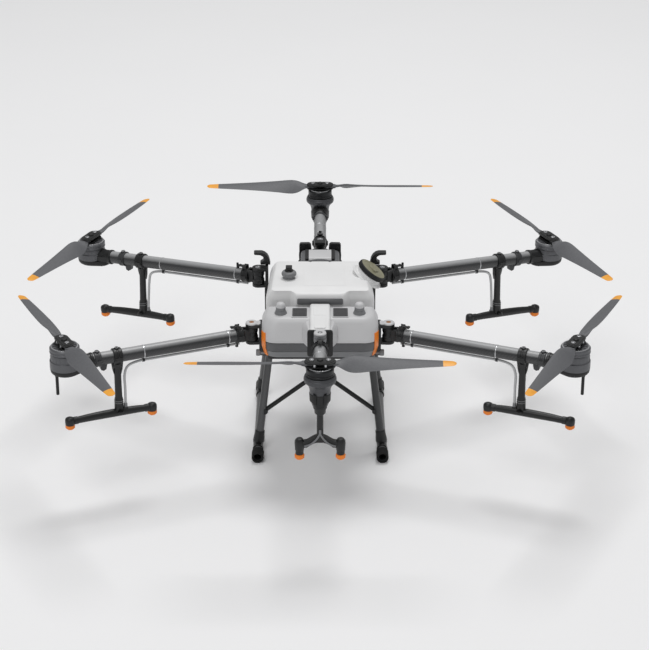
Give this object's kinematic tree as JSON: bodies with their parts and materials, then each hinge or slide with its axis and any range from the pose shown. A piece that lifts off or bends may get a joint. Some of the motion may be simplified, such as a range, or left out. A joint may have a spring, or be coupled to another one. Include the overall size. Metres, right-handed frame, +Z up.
{
  "type": "agricultural spray drone",
  "caption": "Spraying multirotor with folding arms, two-blade folding propellers, a liquid tank, battery, pump, nozzle booms and skid landing gear.",
  "frame": {"origin": "On the ground, at the centre of the six motor axes in plan, which is the centre of the bounding box within 13 mm.", "axes": "+X to the drone's right, -Y towards the nose, +Z up."},
  "size_m": [2.3408, 1.8807, 0.79],
  "materials": {
    "moulded_frame": "fine-textured black moulding",
    "shell_grey": "satin light grey moulding",
    "tank_white": "satin white moulding",
    "carbon_tube": "woven carbon under satin resin",
    "motor_black": "anodised dark metal",
    "hub_alloy": "satin anodised",
    "blade_grey": "matte moulded composite",
    "skid_carbon": "woven carbon under satin resin",
    "hose_grey": "soft satin hose",
    "cap_olive": "moulded cap",
    "latch_black": "moulded lever",
    "battery_case": "textured case"
  },
  "bodies": {
    "body": {"airframe": "moulded_frame", "hood": "shell_grey", "tank": "tank_white", "pump": "moulded_frame", "landing_gear_left": "skid_carbon", "landing_gear_right": "skid_carbon", "brace_left": "moulded_frame", "brace_right": "moulded_frame", "storage_hook_left": "moulded_frame", "storage_hook_right": "moulded_frame"},
    "battery": {"battery": "battery_case"},
    "tank_cap": {"tank_cap": "cap_olive"},
    "arm_front": {"arm_front": "carbon_tube", "mount_front": "motor_black", "boom_front": "moulded_frame", "hose_front": "hose_grey"},
    "rotor_front": {"rotor_front": "hub_alloy"},
    "blade_a_front": {"blade_a_front": "blade_grey"},
    "blade_b_front": {"blade_b_front": "blade_grey"},
    "lock_front": {"lock_front": "latch_black"},
    "arm_rear": {"arm_rear": "carbon_tube", "mount_rear": "motor_black", "boom_rear": "moulded_frame", "hose_rear": "hose_grey"},
    "rotor_rear": {"rotor_rear": "hub_alloy"},
    "blade_a_rear": {"blade_a_rear": "blade_grey"},
    "blade_b_rear": {"blade_b_rear": "blade_grey"},
    "lock_rear": {"lock_rear": "latch_black"},
    "arm_front_left": {"arm_front_left": "carbon_tube", "mount_front_left": "motor_black", "boom_front_left": "moulded_frame", "hose_front_left": "hose_grey"},
    "rotor_front_left": {"rotor_front_left": "hub_alloy"},
    "blade_a_front_left": {"blade_a_front_left": "blade_grey"},
    "blade_b_front_left": {"blade_b_front_left": "blade_grey"},
    "lock_front_left": {"lock_front_left": "latch_black"},
    "arm_rear_left": {"arm_rear_left": "carbon_tube", "mount_rear_left": "motor_black", "boom_rear_left": "moulded_frame", "hose_rear_left": "hose_grey"},
    "rotor_rear_left": {"rotor_rear_left": "hub_alloy"},
    "blade_a_rear_left": {"blade_a_rear_left": "blade_grey"},
    "blade_b_rear_left": {"blade_b_rear_left": "blade_grey"},
    "lock_rear_left": {"lock_rear_left": "latch_black"},
    "arm_front_right": {"arm_front_right": "carbon_tube", "mount_front_right": "motor_black", "boom_front_right": "moulded_frame", "hose_front_right": "hose_grey"},
    "rotor_front_right": {"rotor_front_right": "hub_alloy"},
    "blade_a_front_right": {"blade_a_front_right": "blade_grey"},
    "blade_b_front_right": {"blade_b_front_right": "blade_grey"},
    "lock_front_right": {"lock_front_right": "latch_black"},
    "arm_rear_right": {"arm_rear_right": "carbon_tube", "mount_rear_right": "motor_black", "boom_rear_right": "moulded_frame", "hose_rear_right": "hose_grey"},
    "rotor_rear_right": {"rotor_rear_right": "hub_alloy"},
    "blade_a_rear_right": {"blade_a_rear_right": "blade_grey"},
    "blade_b_rear_right": {"blade_b_rear_right": "blade_grey"},
    "lock_rear_right": {"lock_rear_right": "latch_black"}
  },
  "joints": [
    {"name": "fold_arm_front", "type": "hinge", "parent": "body", "child": "arm_front", "pos_m": [0, -0.47, 0.663], "axis": [0, 0, 1], "range_deg": [-90, 0]},
    {"name": "fold_arm_rear", "type": "hinge", "parent": "body", "child": "arm_rear", "pos_m": [0, 0.44, 0.663], "axis": [0, 0, 1], "range_deg": [-90, 0]},
    {"name": "fold_arm_front_left", "type": "hinge", "parent": "body", "child": "arm_front_left", "pos_m": [-0.262, -0.2276, 0.5925], "axis": [0, 0, 1], "range_deg": [0, 66]},
    {"name": "fold_arm_rear_left", "type": "hinge", "parent": "body", "child": "arm_rear_left", "pos_m": [-0.245, 0.1157, 0.679], "axis": [0, 0, -1], "range_deg": [0, 50]},
    {"name": "fold_arm_front_right", "type": "hinge", "parent": "body", "child": "arm_front_right", "pos_m": [0.262, -0.2276, 0.5925], "axis": [0, 0, -1], "range_deg": [0, 66]},
    {"name": "fold_arm_rear_right", "type": "hinge", "parent": "body", "child": "arm_rear_right", "pos_m": [0.245, 0.1157, 0.679], "axis": [0, 0, 1], "range_deg": [0, 50]},
    {"name": "slide_battery", "type": "slide", "parent": "body", "child": "battery", "axis": [0, 0, 1], "range_m": [0, 0.22]},
    {"name": "turn_tank_cap", "type": "hinge", "parent": "body", "child": "tank_cap", "pos_m": [0.183, 0.028, 0.715], "axis": [0.6, 0, 0.8], "range_deg": [0, 90]},
    {"name": "spin_rotor_front", "type": "hinge", "parent": "arm_front", "child": "rotor_front", "pos_m": [0, -0.86, 0.772], "axis": [0, 0, 1], "continuous": true},
    {"name": "spin_rotor_rear", "type": "hinge", "parent": "arm_rear", "child": "rotor_rear", "pos_m": [0, 0.86, 0.772], "axis": [0, 0, 1], "continuous": true},
    {"name": "spin_rotor_front_left", "type": "hinge", "parent": "arm_front_left", "child": "rotor_front_left", "pos_m": [-0.9465, -0.5043, 0.682], "axis": [0, 0, 1], "continuous": true},
    {"name": "spin_rotor_rear_left", "type": "hinge", "parent": "arm_rear_left", "child": "rotor_rear_left", "pos_m": [-0.9465, 0.5043, 0.682], "axis": [0, 0, 1], "continuous": true},
    {"name": "spin_rotor_front_right", "type": "hinge", "parent": "arm_front_right", "child": "rotor_front_right", "pos_m": [0.9465, -0.5043, 0.682], "axis": [0, 0, 1], "continuous": true},
    {"name": "spin_rotor_rear_right", "type": "hinge", "parent": "arm_rear_right", "child": "rotor_rear_right", "pos_m": [0.9465, 0.5043, 0.682], "axis": [0, 0, 1], "continuous": true},
    {"name": "fold_blade_a_front", "type": "hinge", "parent": "rotor_front", "child": "blade_a_front", "pos_m": [0.03, -0.86, 0.772], "axis": [0, 0, 1], "range_deg": [0, 75]},
    {"name": "fold_blade_b_front", "type": "hinge", "parent": "rotor_front", "child": "blade_b_front", "pos_m": [-0.03, -0.86, 0.772], "axis": [0, 0, -1], "range_deg": [0, 75]},
    {"name": "fold_blade_a_rear", "type": "hinge", "parent": "rotor_rear", "child": "blade_a_rear", "pos_m": [-0.03, 0.86, 0.772], "axis": [0, 0, 1], "range_deg": [0, 75]},
    {"name": "fold_blade_b_rear", "type": "hinge", "parent": "rotor_rear", "child": "blade_b_rear", "pos_m": [0.03, 0.86, 0.772], "axis": [0, 0, -1], "range_deg": [0, 75]},
    {"name": "fold_blade_a_front_left", "type": "hinge", "parent": "rotor_front_left", "child": "blade_a_front_left", "pos_m": [-0.93288, -0.53103, 0.682], "axis": [0, 0, 1], "range_deg": [0, 75]},
    {"name": "fold_blade_b_front_left", "type": "hinge", "parent": "rotor_front_left", "child": "blade_b_front_left", "pos_m": [-0.96013, -0.47757, 0.682], "axis": [0, 0, -1], "range_deg": [0, 75]},
    {"name": "fold_blade_a_rear_left", "type": "hinge", "parent": "rotor_rear_left", "child": "blade_a_rear_left", "pos_m": [-0.95917, 0.47711, 0.682], "axis": [0, 0, 1], "range_deg": [0, 75]},
    {"name": "fold_blade_b_rear_left", "type": "hinge", "parent": "rotor_rear_left", "child": "blade_b_rear_left", "pos_m": [-0.93383, 0.53149, 0.682], "axis": [0, 0, -1], "range_deg": [0, 75]},
    {"name": "fold_blade_a_front_right", "type": "hinge", "parent": "rotor_front_right", "child": "blade_a_front_right", "pos_m": [0.96013, -0.47757, 0.682], "axis": [0, 0, 1], "range_deg": [0, 75]},
    {"name": "fold_blade_b_front_right", "type": "hinge", "parent": "rotor_front_right", "child": "blade_b_front_right", "pos_m": [0.93288, -0.53103, 0.682], "axis": [0, 0, -1], "range_deg": [0, 75]},
    {"name": "fold_blade_a_rear_right", "type": "hinge", "parent": "rotor_rear_right", "child": "blade_a_rear_right", "pos_m": [0.93383, 0.53149, 0.682], "axis": [0, 0, 1], "range_deg": [0, 75]},
    {"name": "fold_blade_b_rear_right", "type": "hinge", "parent": "rotor_rear_right", "child": "blade_b_rear_right", "pos_m": [0.95917, 0.47711, 0.682], "axis": [0, 0, -1], "range_deg": [0, 75]},
    {"name": "flip_lock_front", "type": "hinge", "parent": "arm_front", "child": "lock_front", "pos_m": [0, -0.526, 0.7], "axis": [-1, 0, 0], "range_deg": [0, 80]},
    {"name": "flip_lock_rear", "type": "hinge", "parent": "arm_rear", "child": "lock_rear", "pos_m": [0, 0.496, 0.7], "axis": [1, 0, 0], "range_deg": [0, 80]},
    {"name": "flip_lock_front_left", "type": "hinge", "parent": "arm_front_left", "child": "lock_front_left", "pos_m": [-0.31392, -0.24859, 0.6295], "axis": [-0.3748, 0.9271, 0], "range_deg": [0, 80]},
    {"name": "flip_lock_rear_left", "type": "hinge", "parent": "arm_rear_left", "child": "lock_rear_left", "pos_m": [-0.29668, 0.14433, 0.71084], "axis": [0.4846, 0.8748, 0], "range_deg": [0, 80]},
    {"name": "flip_lock_front_right", "type": "hinge", "parent": "arm_front_right", "child": "lock_front_right", "pos_m": [0.31392, -0.24859, 0.6295], "axis": [-0.3748, -0.9271, 0], "range_deg": [0, 80]},
    {"name": "flip_lock_rear_right", "type": "hinge", "parent": "arm_rear_right", "child": "lock_rear_right", "pos_m": [0.29668, 0.14433, 0.71084], "axis": [0.4846, -0.8748, 0], "range_deg": [0, 80]}
  ]
}
